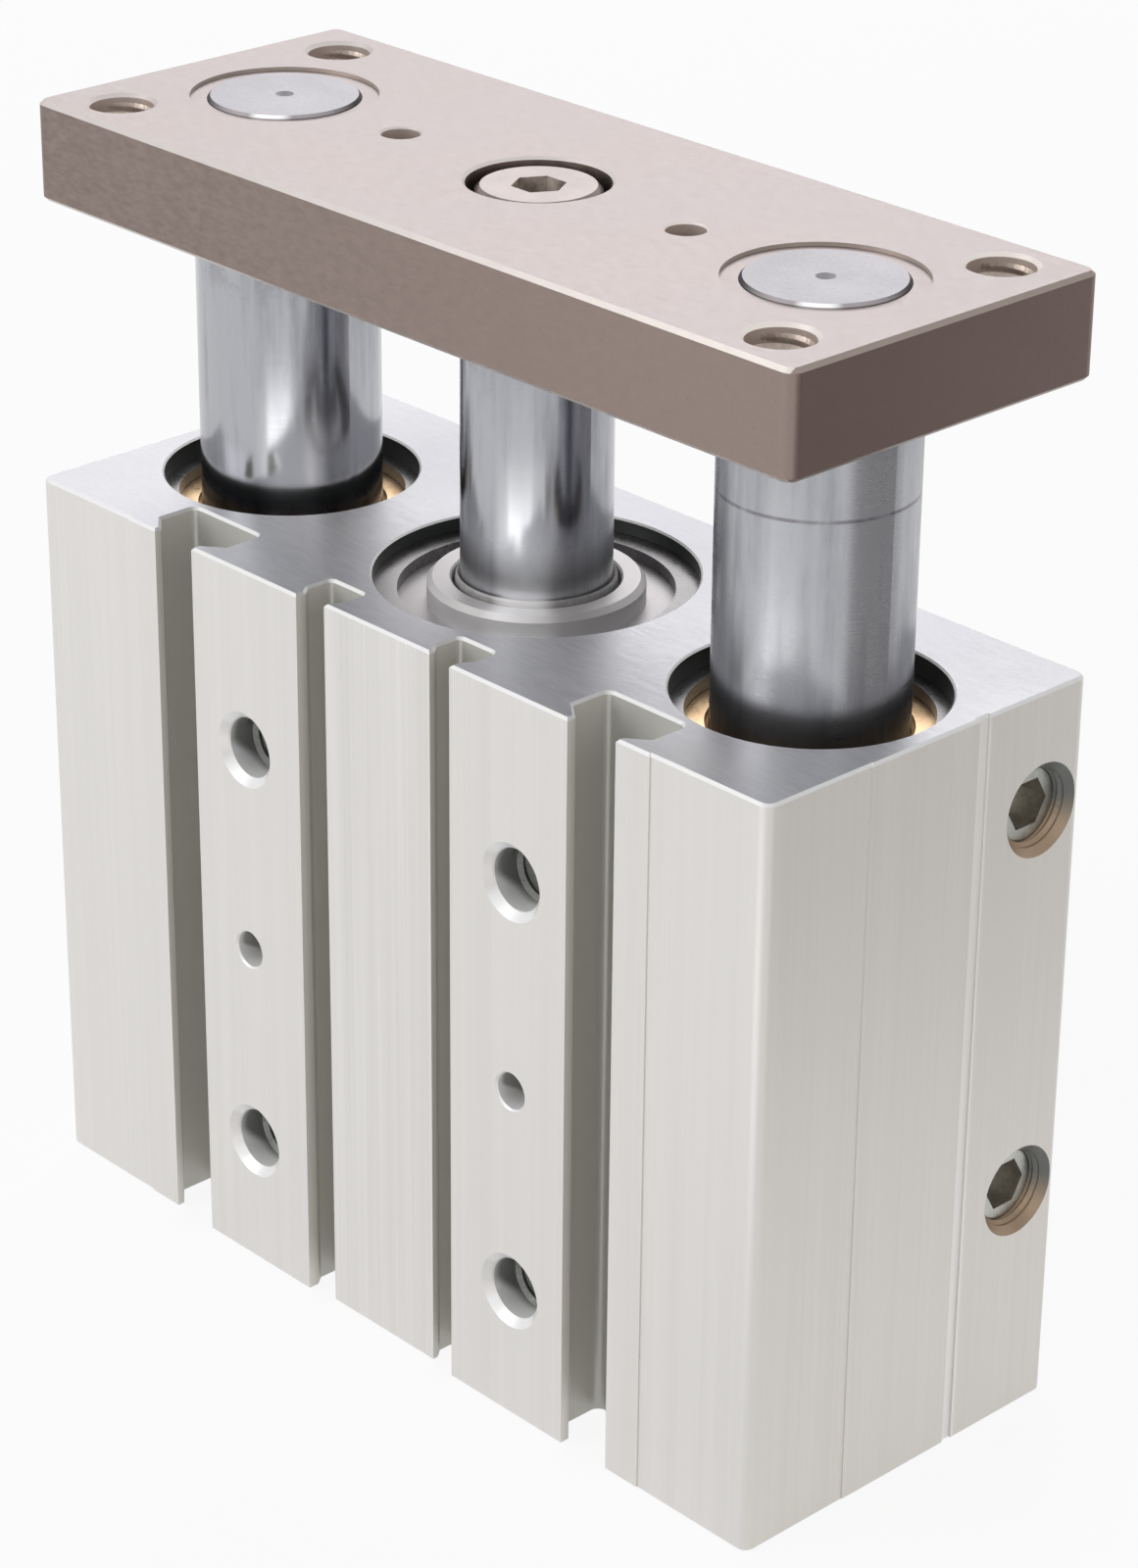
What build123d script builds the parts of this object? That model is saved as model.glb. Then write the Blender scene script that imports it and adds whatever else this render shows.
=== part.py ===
from build123d import *
import os
from math import radians, tan

# Guided pneumatic cylinder, 32 mm bore, 50 mm stroke.
# X runs along the two guide rods, Y through the thickness, Z along the stroke.
# The origin is the middle of the body's bottom face. The T-slots face -Y.
os.makedirs("parts", exist_ok=True)

# Body block
body_length = 112.0
body_depth = 45.6
body_height = 84.0
body_edge_radius = 1.3
body_rim_chamfer = 0.3
half_length = body_length / 2
half_depth = body_depth / 2

# Levels of the extruded front face, as depths below the machined pads
end_block_drop = 0.4
inner_block_drop = 0.25
centre_block_drop = 0.65
shade_line_x = 40.2
pad_outer_x = 29.05
pad_inner_x = 11.85
centre_block_half = 8.15

# T-slots and sensor slots
t_slot_x = 32.3
t_slot_opening = 6.5
t_slot_lip = 1.1
t_slot_shoulder = 2.9
t_slot_width = 11.0
t_slot_depth = 7.6
t_slot_corner = 0.9
sensor_slot_x = 10.0
sensor_slot_opening = 3.7
sensor_slot_lip = 1.3
sensor_slot_shoulder = 2.4
sensor_slot_width = 5.4
sensor_slot_depth = 5.5
sensor_slot_corner = 0.7

# Faint lines along the end faces
end_groove_y = 7.5
end_groove_width = 1.3
end_groove_depth = 0.25
end_step_y = -8.4
end_step_depth = 0.12

# Clearances
static_clearance = 0.05
running_clearance = 0.05
cover_clearance = 0.08
bolt_clearance = 0.4
piston_clearance = 0.12
thread_clearance = 0.05

# Place of the plate: part way out, 21.5 mm above its lowest place
extension = 21.5
retracted_gap = 10.0
plate_bottom = body_height + retracted_gap + extension

# Tooling plate
plate_length = 111.6
plate_depth = 42.0
plate_thickness = 11.0
plate_top = plate_bottom + plate_thickness
plate_corner_radius = 1.4
plate_edge_chamfer = 0.45
plate_hole_inset_x = 7.3
plate_hole_inset_y = 6.0
plate_hole_span_x = plate_length - 2 * plate_hole_inset_x
plate_hole_span_y = plate_depth - 2 * plate_hole_inset_y
m8_tap_radius = 3.4
m8_mouth_radius = 3.8
dowel_radius = 2.05
dowel_mouth_radius = 2.25
dowel_depth = 7.0
bolt_head_radius = 6.5
bolt_head_height = 8.0
bolt_head_sunk = 0.5
bolt_head_chamfer = 0.55
bolt_shank_radius = 4.0
bolt_length = 22.0
bolt_socket_across_flats = 5.0
bolt_socket_depth = 4.0
counterbore_radius = 7.45
counterbore_mouth_radius = 7.75

# Mounting holes on the front and back faces
mount_hole_x = 21.0
mount_hole_low = 15.2
mount_hole_spacing = 48.0
mount_hole_high = mount_hole_low + mount_hole_spacing
mount_dowel_z = mount_hole_low + mount_hole_spacing / 2
front_mouth_radius = 4.3
back_counterbore_radius = 5.5
back_counterbore_depth = 7.5
bottom_hole_inset_x = 6.0
bottom_hole_inset_y = 9.8
bottom_hole_span_x = body_length - 2 * bottom_hole_inset_x
bottom_hole_span_y = body_depth - 2 * bottom_hole_inset_y
bottom_hole_depth = 16.0

# Air ports
port_radius = 4.3
port_mouth_radius = 5.1
port_inset = 6.1
port_y = half_depth - port_inset
port_high = 71.0
port_low = 27.0
side_port_depth = 9.0
back_port_x = 12.0
back_port_depth = 7.6
passage_radius = 1.2
high_passage_z = 73.0
drop_passage_x = 13.5
drop_passage_y = 15.5
feed_passage_radius = 0.75
feed_passage_z = 9.85
passage_plug_top = 6.5
passage_plug_length = 5.0
passage_plug_clearance = 0.02
plug_length = 6.0
plug_chamfer = 0.4
plug_sunk = 1.9
plug_socket_across_flats = 5.0
plug_socket_depth = 3.2

# Cylinder bore and its two covers
bore_radius = 16.0
cover_bore_radius = 17.2
cover_radius = cover_bore_radius - cover_clearance
ring_groove_radius = 18.2
ring_thickness = 1.4
ring_outer_radius = ring_groove_radius - static_clearance
ring_inner_radius = 14.6
ring_gap_angle = 137
ring_half_gap = 20.0
ring_ear_radius = 1.7
ring_ear_hole_radius = 0.7
ring_ear_inset = 0.1
rod_cover_bottom = 74.4
rod_cover_top = 80.9
boss_radius = 11.5
boss_top = 83.6
boss_recess_radius = 8.9
boss_recess_bottom = 81.5
boss_chamfer = 0.6
boss_recess_chamfer = 0.2
head_cover_bottom = 4.5
head_cover_top = 9.0
gasket_depth = 1.8
gasket_height = 2.2
head_gasket_wall = 0.6
seal_radius = 10.6
seal_bottom = 77.0
seal_lip_top = 84.1
seal_lip_clearance = 0.1
seal_lip_taper = 0.35
seal_lip_edge = 0.25
bumper_inner_radius = 9.4
bumper_outer_radius = 14.0
bumper_seat_depth = 1.0
bumper_height = 2.5

# Piston and piston rod
rod_radius = 8.0
piston_height = 12.0
retracted_margin = 0.1
head_bumper_top = head_cover_top - bumper_seat_depth + bumper_height
piston_bottom = head_bumper_top + retracted_margin + extension
piston_top = piston_bottom + piston_height
piston_radius = bore_radius - piston_clearance
piston_chamfer = 0.5
seal_groove_radius = 12.6
wear_groove_radius = 14.3
magnet_groove_radius = 13.0
piston_seal_low = 1.6
piston_seal_height = 2.8
magnet_low = 5.4
magnet_height = 2.4
magnet_sunk = 0.3
wear_low = 8.8
wear_height = 2.0
spigot_radius = 4.0
spigot_rise = 0.3
spigot_chamfer = 0.4
rod_end_chamfer = 0.6
tap_runout = 2.0
drill_tip_height = 2.0
nut_across_flats = 13.0
nut_height = 4.0
nut_recess_radius = 8.0
nut_recess_depth = 4.4

# Guides
guide_x = 39.75
guide_radius = 10.0
guide_bottom = 22.4
guide_end_radius = 8.2
guide_end_chamfer = 0.3
guide_low_chamfer = 0.8
guide_mouth_radius = 14.1
guide_mouth_bottom = 80.3
bore_mouth_chamfer = 0.2
guide_ring_groove_radius = 14.9
guide_ring_inner_radius = 12.5
guide_ring_thickness = 1.3
guide_ring_gap_angle = 135
bush_radius = 13.0
bush_seat_bottom = 50.0
bush_length = 13.0
bush_mouth_chamfer = 0.4
felt_height = guide_mouth_bottom - bush_seat_bottom - 2 * bush_length
guide_passage_radius = 11.0
guide_passage_chamfer = 0.5
end_mark_radius = 1.0
end_mark_depth = 0.7
plate_sink_radius = 10.1
plate_sink_depth = 0.4

sides = (("left", -1), ("right", 1))


# Plain turned sleeve standing on Z at a given X
def sleeve(label, outer, inner, bottom, top, x=0.0):
    with BuildPart() as turned:
        with BuildSketch(Plane.XY.offset(bottom)):
            with Locations((x, 0)):
                Circle(outer)
                Circle(inner, mode=Mode.SUBTRACT)
        extrude(amount=top - bottom)
    turned.part.label = label
    return turned.part


# Solid of revolution about the vertical line at X, from radius and height pairs
def turned_part(label, outline, x=0.0):
    with BuildPart() as turned:
        with BuildSketch(Plane(origin=(x, 0, 0), x_dir=(1, 0, 0), z_dir=(0, -1, 0))):
            with BuildLine():
                Polyline(*outline, close=True)
            make_face()
        revolve(axis=Axis((x, 0, 0), (0, 0, 1)))
    turned.part.label = label
    return turned.part


# Retaining ring: an open spring ring with a plier ear at each end, its gap turned to gap_angle
def retaining_ring(label, outer, inner, bottom, thickness, gap_angle, x=0.0):
    ear_centre = inner + ring_ear_inset
    far_x = 2 * outer
    far_y = far_x * tan(radians(ring_half_gap))
    with BuildPart() as ring:
        with BuildSketch(Plane(origin=(x, 0, bottom), z_dir=(0, 0, 1)).rotated((0, 0, gap_angle))):
            Circle(outer)
            Circle(inner, mode=Mode.SUBTRACT)
            with BuildLine():
                Polyline((0, 0), (far_x, far_y), (far_x, -far_y), close=True)
            make_face(mode=Mode.SUBTRACT)
            with PolarLocations(ear_centre, 2, start_angle=-ring_half_gap, angular_range=4 * ring_half_gap):
                Circle(ring_ear_radius)
            with PolarLocations(ear_centre, 2, start_angle=-ring_half_gap, angular_range=4 * ring_half_gap):
                Circle(ring_ear_hole_radius, mode=Mode.SUBTRACT)
        extrude(amount=thickness)
    ring.part.label = label
    return ring.part


# Section of a slot that opens towards -Y: straight lips, sloped shoulders and a rounded back
def slot_section(opening, lip, shoulder, width, depth, corner):
    with BuildSketch() as section:
        with BuildLine():
            Polyline(
                (-opening / 2, -lip),
                (opening / 2, -lip),
                (opening / 2, lip),
                (width / 2, shoulder),
                (width / 2, depth),
                (-width / 2, depth),
                (-width / 2, shoulder),
                (-opening / 2, lip),
                close=True,
            )
        make_face()
        fillet(section.vertices().group_by(Axis.Y)[-1], radius=corner)
    return section.sketch


t_slot = slot_section(
    t_slot_opening, t_slot_lip, t_slot_shoulder, t_slot_width, t_slot_depth, t_slot_corner
)
sensor_slot = slot_section(
    sensor_slot_opening, sensor_slot_lip, sensor_slot_shoulder,
    sensor_slot_width, sensor_slot_depth, sensor_slot_corner,
)

# Body: one extruded block with its slots, bores, ports and mounting holes
with BuildPart() as body:
    with BuildSketch(Plane.XY):
        Rectangle(body_length, body_depth)
        with Locations((0, -half_depth)):
            Rectangle(2 * centre_block_half, 2 * centre_block_drop, mode=Mode.SUBTRACT)
        for name, side in sides:
            with Locations((side * (half_length + shade_line_x) / 2, -half_depth)):
                Rectangle(half_length - shade_line_x, 2 * end_block_drop, mode=Mode.SUBTRACT)
            with Locations((side * (shade_line_x + pad_outer_x) / 2, -half_depth)):
                Rectangle(shade_line_x - pad_outer_x, 2 * inner_block_drop, mode=Mode.SUBTRACT)
            with Locations((side * half_length, end_groove_y)):
                Rectangle(2 * end_groove_depth, end_groove_width, mode=Mode.SUBTRACT)
            with Locations((side * half_length, (end_step_y - half_depth) / 2)):
                Rectangle(2 * end_step_depth, end_step_y + half_depth, mode=Mode.SUBTRACT)
    extrude(amount=body_height)
    corner_edges = body.edges().filter_by(Axis.Z).filter_by(
        lambda edge: abs(edge.center().X) > half_length - 2 * end_groove_depth
        and abs(edge.center().Y) > half_depth - 2 * end_block_drop
    )
    fillet(corner_edges, radius=body_edge_radius)
    with BuildSketch(Plane.XY):
        for name, side in sides:
            with Locations((side * t_slot_x, -half_depth)):
                add(t_slot)
            with Locations((side * sensor_slot_x, -half_depth)):
                add(sensor_slot)
    extrude(amount=body_height, mode=Mode.SUBTRACT)
    chamfer(body.faces().sort_by(Axis.Z)[-1].outer_wire().edges(), length=body_rim_chamfer)
    chamfer(body.faces().sort_by(Axis.Z)[0].outer_wire().edges(), length=body_rim_chamfer)
    # Cylinder bore with a seat and a ring groove at each end
    with BuildSketch(Plane.XY):
        Circle(bore_radius)
    extrude(amount=body_height, mode=Mode.SUBTRACT)
    with BuildSketch(Plane.XY.offset(rod_cover_bottom)):
        Circle(cover_bore_radius)
    extrude(amount=body_height - rod_cover_bottom, mode=Mode.SUBTRACT)
    with BuildSketch(Plane.XY):
        Circle(cover_bore_radius)
    extrude(amount=head_cover_top, mode=Mode.SUBTRACT)
    with BuildSketch(Plane.XY.offset(rod_cover_top)):
        Circle(ring_groove_radius)
    extrude(amount=ring_thickness + static_clearance, mode=Mode.SUBTRACT)
    with BuildSketch(Plane.XY.offset(head_cover_bottom)):
        Circle(ring_groove_radius)
    extrude(amount=-ring_thickness - static_clearance, mode=Mode.SUBTRACT)
    # Guide bores: clear passage, bush seat, ring groove and open mouth
    with BuildSketch(Plane.XY):
        for name, side in sides:
            with Locations((side * guide_x, 0)):
                Circle(guide_passage_radius)
    extrude(amount=body_height, mode=Mode.SUBTRACT)
    with BuildSketch(Plane.XY.offset(bush_seat_bottom)):
        for name, side in sides:
            with Locations((side * guide_x, 0)):
                Circle(bush_radius + static_clearance)
    extrude(amount=body_height - bush_seat_bottom, mode=Mode.SUBTRACT)
    with BuildSketch(Plane.XY.offset(guide_mouth_bottom)):
        for name, side in sides:
            with Locations((side * guide_x, 0)):
                Circle(guide_mouth_radius)
    extrude(amount=body_height - guide_mouth_bottom, mode=Mode.SUBTRACT)
    with BuildSketch(Plane.XY.offset(guide_mouth_bottom)):
        for name, side in sides:
            with Locations((side * guide_x, 0)):
                Circle(guide_ring_groove_radius)
    extrude(amount=guide_ring_thickness + static_clearance, mode=Mode.SUBTRACT)
    # Through holes tapped from the front, with a counterbore at the back
    with BuildSketch(Plane.XZ.offset(half_depth)):
        for name, side in sides:
            with Locations((side * mount_hole_x, mount_hole_low), (side * mount_hole_x, mount_hole_high)):
                Circle(m8_tap_radius)
    extrude(amount=-body_depth, mode=Mode.SUBTRACT)
    with BuildSketch(Plane.XZ.offset(-half_depth)):
        for name, side in sides:
            with Locations((side * mount_hole_x, mount_hole_low), (side * mount_hole_x, mount_hole_high)):
                Circle(back_counterbore_radius)
    extrude(amount=back_counterbore_depth, mode=Mode.SUBTRACT)
    with BuildSketch(Plane.XZ.offset(half_depth)):
        for name, side in sides:
            with Locations((side * mount_hole_x, mount_dowel_z)):
                Circle(dowel_radius)
    extrude(amount=-dowel_depth, mode=Mode.SUBTRACT)
    # Tapped holes in the bottom face
    with BuildSketch(Plane.XY):
        with GridLocations(bottom_hole_span_x, bottom_hole_span_y, 2, 2):
            Circle(m8_tap_radius)
    extrude(amount=bottom_hole_depth, mode=Mode.SUBTRACT)
    # Air ports in the end face and in the back face
    with BuildSketch(Plane.YZ.offset(half_length)):
        with Locations((port_y, port_low), (port_y, port_high)):
            Circle(port_radius)
    extrude(amount=-side_port_depth, mode=Mode.SUBTRACT)
    with BuildSketch(Plane.XZ.offset(-half_depth)):
        with Locations((back_port_x, port_low), (back_port_x, port_high)):
            Circle(port_radius)
    extrude(amount=back_port_depth, mode=Mode.SUBTRACT)
    # Drilled passages that join the ports to the two ends of the bore
    with BuildSketch(Plane.YZ.offset(back_port_x)):
        with Locations((port_y, port_low), (port_y, high_passage_z)):
            Circle(passage_radius)
    extrude(amount=half_length - side_port_depth - back_port_x, mode=Mode.SUBTRACT)
    with BuildSketch(Plane.XZ.offset(-half_depth + back_port_depth)):
        with Locations((back_port_x, high_passage_z)):
            Circle(passage_radius)
    extrude(amount=half_depth - back_port_depth, mode=Mode.SUBTRACT)
    with BuildSketch(Plane.XY):
        with Locations((drop_passage_x, drop_passage_y)):
            Circle(passage_radius)
    extrude(amount=port_low, mode=Mode.SUBTRACT)
    with BuildSketch(
        Plane(
            origin=(drop_passage_x, drop_passage_y, feed_passage_z),
            z_dir=(-drop_passage_x, -drop_passage_y, 0),
        )
    ):
        Circle(feed_passage_radius)
    extrude(amount=bore_radius / 2, mode=Mode.SUBTRACT)


# Cone that widens a hole mouth: it starts wide on the surface and narrows inwards
def mouth_cone(x, y, z, direction, mouth_radius, hole_radius):
    depth = mouth_radius - hole_radius
    mouth = Plane(origin=(x, y, z), z_dir=direction)
    return mouth * Cone(
        mouth_radius, hole_radius, depth, align=(Align.CENTER, Align.CENTER, Align.MIN)
    )


# Mouth chamfers of the round holes in the body
mouths = []
for name, side in sides:
    for z in (mount_hole_low, mount_hole_high):
        mouths.append(
            mouth_cone(side * mount_hole_x, -half_depth, z, (0, 1, 0), front_mouth_radius, m8_tap_radius)
        )
    mouths.append(
        mouth_cone(
            side * mount_hole_x, -half_depth, mount_dowel_z, (0, 1, 0), dowel_mouth_radius, dowel_radius
        )
    )
    mouths.append(
        mouth_cone(
            side * guide_x, 0, 0, (0, 0, 1),
            guide_passage_radius + guide_passage_chamfer, guide_passage_radius,
        )
    )
    mouths.append(
        mouth_cone(
            side * guide_x, 0, body_height, (0, 0, -1),
            guide_mouth_radius + bore_mouth_chamfer, guide_mouth_radius,
        )
    )
    for y in (-bottom_hole_span_y / 2, bottom_hole_span_y / 2):
        mouths.append(
            mouth_cone(side * bottom_hole_span_x / 2, y, 0, (0, 0, 1), m8_mouth_radius, m8_tap_radius)
        )
for z in (port_low, port_high):
    mouths.append(mouth_cone(half_length, port_y, z, (-1, 0, 0), port_mouth_radius, port_radius))
    mouths.append(mouth_cone(back_port_x, half_depth, z, (0, -1, 0), port_mouth_radius, port_radius))
for z, direction in ((0, (0, 0, 1)), (body_height, (0, 0, -1))):
    mouths.append(mouth_cone(0, 0, z, direction, cover_bore_radius + bore_mouth_chamfer, cover_bore_radius))
body_part = body.part
for mouth in mouths:
    body_part = body_part - mouth
body_part.label = "body"

# Rod cover: flange in the bore, boss round the rod, seats for seal, gasket and bumper
gasket_floor_radius = cover_radius - gasket_depth
gasket_low = rod_cover_bottom + (rod_cover_top - rod_cover_bottom - gasket_height) / 2
rod_bore_radius = rod_radius + running_clearance
rod_cover = turned_part(
    "rod_cover",
    (
        (rod_bore_radius, rod_cover_bottom),
        (bumper_inner_radius - static_clearance, rod_cover_bottom),
        (bumper_inner_radius - static_clearance, rod_cover_bottom + bumper_seat_depth),
        (bumper_outer_radius + static_clearance, rod_cover_bottom + bumper_seat_depth),
        (bumper_outer_radius + static_clearance, rod_cover_bottom),
        (cover_radius, rod_cover_bottom),
        (cover_radius, gasket_low),
        (gasket_floor_radius, gasket_low),
        (gasket_floor_radius, gasket_low + gasket_height),
        (cover_radius, gasket_low + gasket_height),
        (cover_radius, rod_cover_top),
        (boss_radius, rod_cover_top),
        (boss_radius, boss_top - boss_chamfer),
        (boss_radius - boss_chamfer, boss_top),
        (boss_recess_radius + boss_recess_chamfer, boss_top),
        (boss_recess_radius, boss_top - boss_recess_chamfer),
        (boss_recess_radius, boss_recess_bottom),
        (seal_radius, boss_recess_bottom),
        (seal_radius, seal_bottom),
        (rod_bore_radius, seal_bottom),
    ),
)
rod_cover_ring = retaining_ring(
    "rod_cover_ring",
    ring_outer_radius,
    ring_inner_radius,
    rod_cover_top + static_clearance / 2,
    ring_thickness,
    ring_gap_angle,
)
seal_bore_radius = rod_radius + running_clearance
lip_radius = boss_recess_radius - seal_lip_clearance
rod_seal = turned_part(
    "rod_seal",
    (
        (seal_bore_radius, seal_bottom + static_clearance),
        (seal_radius - static_clearance, seal_bottom + static_clearance),
        (seal_radius - static_clearance, boss_recess_bottom - static_clearance),
        (lip_radius, boss_recess_bottom - static_clearance),
        (lip_radius - seal_lip_taper, seal_lip_top - seal_lip_edge),
        (seal_bore_radius + seal_lip_edge, seal_lip_top),
        (seal_bore_radius, seal_lip_top - seal_lip_edge),
    ),
)


# Rubber ring that fills the groove round a cover
def cover_gasket(label, bottom):
    return sleeve(
        label,
        cover_bore_radius - static_clearance,
        gasket_floor_radius + static_clearance,
        bottom + static_clearance,
        bottom + gasket_height - static_clearance,
    )


rod_cover_gasket = cover_gasket("rod_cover_gasket", gasket_low)
rod_bumper = sleeve(
    "rod_bumper",
    bumper_outer_radius,
    bumper_inner_radius,
    rod_cover_bottom + bumper_seat_depth - static_clearance - bumper_height,
    rod_cover_bottom + bumper_seat_depth - static_clearance,
)

# Head cover: closed disc with the same gasket and bumper seats
head_gasket_low = head_cover_bottom + head_gasket_wall
head_cover = turned_part(
    "head_cover",
    (
        (0, head_cover_bottom),
        (cover_radius, head_cover_bottom),
        (cover_radius, head_gasket_low),
        (gasket_floor_radius, head_gasket_low),
        (gasket_floor_radius, head_gasket_low + gasket_height),
        (cover_radius, head_gasket_low + gasket_height),
        (cover_radius, head_cover_top - static_clearance),
        (bumper_outer_radius + static_clearance, head_cover_top - static_clearance),
        (bumper_outer_radius + static_clearance, head_cover_top - bumper_seat_depth),
        (bumper_inner_radius - static_clearance, head_cover_top - bumper_seat_depth),
        (bumper_inner_radius - static_clearance, head_cover_top - static_clearance),
        (0, head_cover_top - static_clearance),
    ),
)
head_cover_gasket = cover_gasket("head_cover_gasket", head_gasket_low)
head_bumper = sleeve(
    "head_bumper",
    bumper_outer_radius,
    bumper_inner_radius,
    head_bumper_top - bumper_height + static_clearance,
    head_bumper_top,
)
head_cover_ring = retaining_ring(
    "head_cover_ring",
    ring_outer_radius,
    ring_inner_radius,
    head_cover_bottom - ring_thickness - static_clearance / 2,
    ring_thickness,
    ring_gap_angle,
)

# Plug that closes the drilled drop passage from below
with BuildPart() as passage_plug:
    with BuildSketch(Plane.XY.offset(passage_plug_top)):
        with Locations((drop_passage_x, drop_passage_y)):
            Circle(passage_radius - passage_plug_clearance)
    extrude(amount=-passage_plug_length)
passage_plug.part.label = "passage_plug"

# Bushes, felt rings and retaining rings of the two guides
guide_parts = []
for name, side in sides:
    x = side * guide_x
    low = bush_seat_bottom + static_clearance
    felt_low = low + bush_length
    top = guide_mouth_bottom - static_clearance
    guide_parts.append(
        sleeve(
            "guide_bush_lower_" + name, bush_radius, guide_radius + running_clearance, low, felt_low, x
        )
    )
    guide_parts.append(
        sleeve(
            "guide_felt_" + name,
            bush_radius - static_clearance,
            guide_radius + running_clearance,
            felt_low + static_clearance,
            top - bush_length - static_clearance,
            x,
        )
    )
    guide_parts.append(
        turned_part(
            "guide_bush_upper_" + name,
            (
                (guide_radius + running_clearance, top - bush_length),
                (bush_radius, top - bush_length),
                (bush_radius, top),
                (guide_radius + running_clearance + bush_mouth_chamfer, top),
                (guide_radius + running_clearance, top - bush_mouth_chamfer),
            ),
            x,
        )
    )
    guide_parts.append(
        retaining_ring(
            "guide_ring_" + name,
            guide_ring_groove_radius - static_clearance,
            guide_ring_inner_radius,
            guide_mouth_bottom + static_clearance / 2,
            guide_ring_thickness,
            guide_ring_gap_angle,
            x,
        )
    )

# Socket plugs that close the two ports in the end face
plugs = []
for name, z in (("lower", port_low), ("upper", port_high)):
    with BuildPart() as plug:
        with BuildSketch(Plane.YZ.offset(half_length - plug_sunk)):
            with Locations((port_y, z)):
                Circle(port_radius - thread_clearance)
        extrude(amount=-plug_length)
        chamfer(plug.faces().sort_by(Axis.X)[-1].edges(), length=plug_chamfer)
        with BuildSketch(Plane.YZ.offset(half_length - plug_sunk)):
            with Locations((port_y, z)):
                RegularPolygon(plug_socket_across_flats / 2, 6, major_radius=False)
        extrude(amount=-plug_socket_depth, mode=Mode.SUBTRACT)
    plug.part.label = "port_plug_" + name
    plugs.append(plug.part)

# Tooling plate
with BuildPart() as plate:
    with BuildSketch(Plane.XY.offset(plate_bottom)):
        Rectangle(plate_length, plate_depth)
    extrude(amount=plate_thickness)
    fillet(plate.edges().filter_by(Axis.Z), radius=plate_corner_radius)
    chamfer(plate.faces().sort_by(Axis.Z)[-1].outer_wire().edges(), length=plate_edge_chamfer)
    chamfer(plate.faces().sort_by(Axis.Z)[0].outer_wire().edges(), length=plate_edge_chamfer)
    with BuildSketch(Plane.XY.offset(plate_bottom)):
        with GridLocations(plate_hole_span_x, plate_hole_span_y, 2, 2):
            Circle(m8_tap_radius)
        Circle(bolt_shank_radius + bolt_clearance)
        for name, side in sides:
            with Locations((side * guide_x, 0)):
                Circle(guide_end_radius + static_clearance)
    extrude(amount=plate_thickness, mode=Mode.SUBTRACT)
    with BuildSketch(Plane.XY.offset(plate_top)):
        for name, side in sides:
            with Locations((side * guide_x, 0)):
                Circle(plate_sink_radius)
    extrude(amount=-plate_sink_depth, mode=Mode.SUBTRACT)
    with BuildSketch(Plane.XY.offset(plate_top)):
        Circle(counterbore_radius)
    extrude(amount=-bolt_head_height - bolt_head_sunk, mode=Mode.SUBTRACT)
    with BuildSketch(Plane.XY.offset(plate_top)):
        for name, side in sides:
            with Locations((side * mount_hole_x, 0)):
                Circle(dowel_radius)
    extrude(amount=-dowel_depth, mode=Mode.SUBTRACT)
plate_mouths = [
    mouth_cone(0, 0, plate_top, (0, 0, -1), counterbore_mouth_radius, counterbore_radius)
]
for name, side in sides:
    plate_mouths.append(
        mouth_cone(side * mount_hole_x, 0, plate_top, (0, 0, -1), dowel_mouth_radius, dowel_radius)
    )
    for y in (-plate_hole_span_y / 2, plate_hole_span_y / 2):
        x = side * plate_hole_span_x / 2
        plate_mouths.append(mouth_cone(x, y, plate_top, (0, 0, -1), m8_mouth_radius, m8_tap_radius))
        plate_mouths.append(mouth_cone(x, y, plate_bottom, (0, 0, 1), m8_mouth_radius, m8_tap_radius))
plate_part = plate.part
for mouth in plate_mouths:
    plate_part = plate_part - mouth
plate_part.label = "tooling_plate"

# Socket bolt that clamps the plate to the piston rod
bolt_head_top = plate_top - bolt_head_sunk
bolt_seat = bolt_head_top - bolt_head_height
bolt_end = bolt_seat - bolt_length
with BuildPart() as plate_bolt:
    with BuildSketch(Plane.XY.offset(bolt_end)):
        Circle(bolt_shank_radius - thread_clearance)
    extrude(amount=bolt_length)
    with BuildSketch(Plane.XY.offset(bolt_seat)):
        Circle(bolt_head_radius)
    extrude(amount=bolt_head_height)
    chamfer(plate_bolt.faces().sort_by(Axis.Z)[-1].outer_wire().edges(), length=bolt_head_chamfer)
    with BuildSketch(Plane.XY.offset(bolt_head_top)):
        RegularPolygon(bolt_socket_across_flats / 2, 6, major_radius=False)
    extrude(amount=-bolt_socket_depth, mode=Mode.SUBTRACT)
plate_bolt.part.label = "plate_bolt"

# Piston rod, tapped at the plate end and stepped down to pass through the piston
spigot_bottom = piston_bottom + spigot_rise
tap_bottom = bolt_end - tap_runout
piston_rod = turned_part(
    "piston_rod",
    (
        (0, spigot_bottom),
        (spigot_radius - spigot_chamfer, spigot_bottom),
        (spigot_radius, spigot_bottom + spigot_chamfer),
        (spigot_radius, piston_top),
        (rod_radius, piston_top),
        (rod_radius, plate_bottom - rod_end_chamfer),
        (rod_radius - rod_end_chamfer, plate_bottom),
        (bolt_shank_radius, plate_bottom),
        (bolt_shank_radius, tap_bottom),
        (0, tap_bottom - drill_tip_height),
    ),
)

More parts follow.
